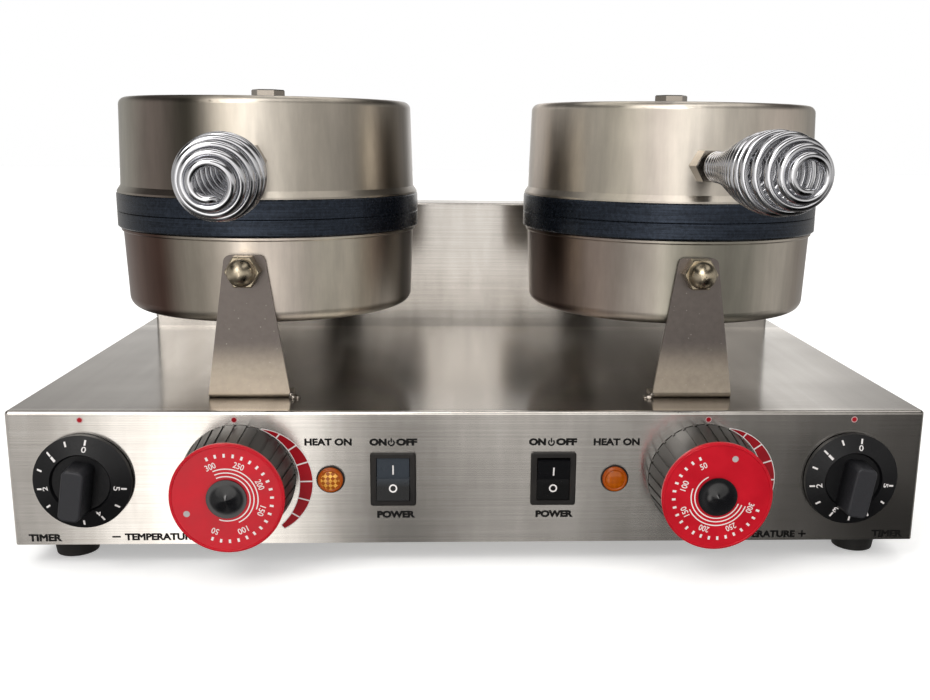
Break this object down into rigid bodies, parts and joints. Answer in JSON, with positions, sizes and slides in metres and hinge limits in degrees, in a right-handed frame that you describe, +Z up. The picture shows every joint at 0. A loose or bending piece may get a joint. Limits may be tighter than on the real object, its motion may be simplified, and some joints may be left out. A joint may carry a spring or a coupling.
{
  "type": "double waffle maker",
  "caption": "Countertop waffle maker with round hinged cooking plates side by side on a sheet metal base with timers, thermostats, rocker switches, pilot lamps and spring handles",
  "frame": {"origin": "middle of the whole outline's footprint, on the surface that it stands on; the middle of the base housing lies 33.7 mm behind it", "axes": "+X to the right and +Y to the back as seen by the user, +Z up"},
  "size_m": [0.51, 0.4237, 0.2656],
  "materials": {
    "stainless": "brushed",
    "floor_steel": "galvanised",
    "leg_steel": "satin grey",
    "cast_plate": "dark non-stick coating",
    "nickel": "nickel plated",
    "chrome": "polished",
    "rubber": "matte",
    "black_plastic": "satin",
    "inner_plastic": "matte",
    "dial_red": "gloss",
    "amber": "gloss, translucent",
    "element": "heat tinted"
  },
  "bodies": {
    "housing": {"base_shell": "stainless", "bottom_plate": "floor_steel", "feet": "rubber", "rear_tower": "stainless", "back_cover": "stainless", "terminal_block": "inner_plastic", "cable_gland": "black_plastic", "leg_studs": "nickel", "leg_nuts": "nickel", "hinge_pins": "nickel", "pan_bolts": "nickel", "lamp_bodies": "black_plastic", "front_leg_left": "leg_steel", "lower_housing_left": "stainless", "lower_grid_left": "cast_plate", "lower_ring_left": "cast_plate", "lower_heater_left": "element", "rear_arm_left": "stainless", "timer_body_left": "inner_plastic", "thermostat_body_left": "inner_plastic", "switch_body_left": "black_plastic", "lamp_lens_left": "amber", "front_leg_right": "leg_steel", "lower_housing_right": "stainless", "lower_grid_right": "cast_plate", "lower_ring_right": "cast_plate", "lower_heater_right": "element", "rear_arm_right": "stainless", "timer_body_right": "inner_plastic", "thermostat_body_right": "inner_plastic", "switch_body_right": "black_plastic", "lamp_lens_right": "amber"},
    "lid_left": {"lid_shell_left": "stainless", "upper_ring_left": "cast_plate", "upper_grid_left": "cast_plate", "upper_heater_left": "element", "lid_bolt_left": "nickel", "handle_base_left": "nickel", "handle_spring_left": "chrome"},
    "timer_left": {"timer_knob_left": "black_plastic", "timer_shaft_left": "nickel"},
    "thermostat_left": {"thermostat_knob_left": "black_plastic", "thermostat_dial_left": "dial_red", "thermostat_cap_left": "black_plastic", "thermostat_shaft_left": "nickel"},
    "switch_left": {"rocker_left": "black_plastic"},
    "lid_right": {"lid_shell_right": "stainless", "upper_ring_right": "cast_plate", "upper_grid_right": "cast_plate", "upper_heater_right": "element", "lid_bolt_right": "nickel", "handle_base_right": "nickel", "handle_spring_right": "chrome"},
    "timer_right": {"timer_knob_right": "black_plastic", "timer_shaft_right": "nickel"},
    "thermostat_right": {"thermostat_knob_right": "black_plastic", "thermostat_dial_right": "dial_red", "thermostat_cap_right": "black_plastic", "thermostat_shaft_right": "nickel"},
    "switch_right": {"rocker_right": "black_plastic"}
  },
  "joints": [
    {"name": "lid_hinge_left", "type": "hinge", "parent": "housing", "child": "lid_left", "pos_m": [-0.128, 0.0977, 0.1917], "axis": [-1, 0, 0], "range_deg": [0, 105]},
    {"name": "lid_hinge_right", "type": "hinge", "parent": "housing", "child": "lid_right", "pos_m": [0.128, 0.0977, 0.1917], "axis": [-1, 0, 0], "range_deg": [0, 105]},
    {"name": "timer_turn_left", "type": "hinge", "parent": "housing", "child": "timer_left", "pos_m": [-0.2143, -0.1273, 0.051], "axis": [0, 1, 0], "range_deg": [-9, 261]},
    {"name": "timer_turn_right", "type": "hinge", "parent": "housing", "child": "timer_right", "pos_m": [0.2143, -0.1273, 0.051], "axis": [0, 1, 0], "range_deg": [-9, 261]},
    {"name": "thermostat_turn_left", "type": "hinge", "parent": "housing", "child": "thermostat_left", "pos_m": [-0.1303, -0.1273, 0.051], "axis": [0, 1, 0], "range_deg": [-248.5, 23.5]},
    {"name": "thermostat_turn_right", "type": "hinge", "parent": "housing", "child": "thermostat_right", "pos_m": [0.1303, -0.1273, 0.051], "axis": [0, 1, 0], "range_deg": [-22, 250]},
    {"name": "switch_rock_left", "type": "hinge", "parent": "housing", "child": "switch_left", "pos_m": [-0.0448, -0.1267, 0.051], "axis": [1, 0, 0], "range_deg": [0, 16]},
    {"name": "switch_rock_right", "type": "hinge", "parent": "housing", "child": "switch_right", "pos_m": [0.0448, -0.1267, 0.051], "axis": [-1, 0, 0], "range_deg": [0, 16]}
  ]
}
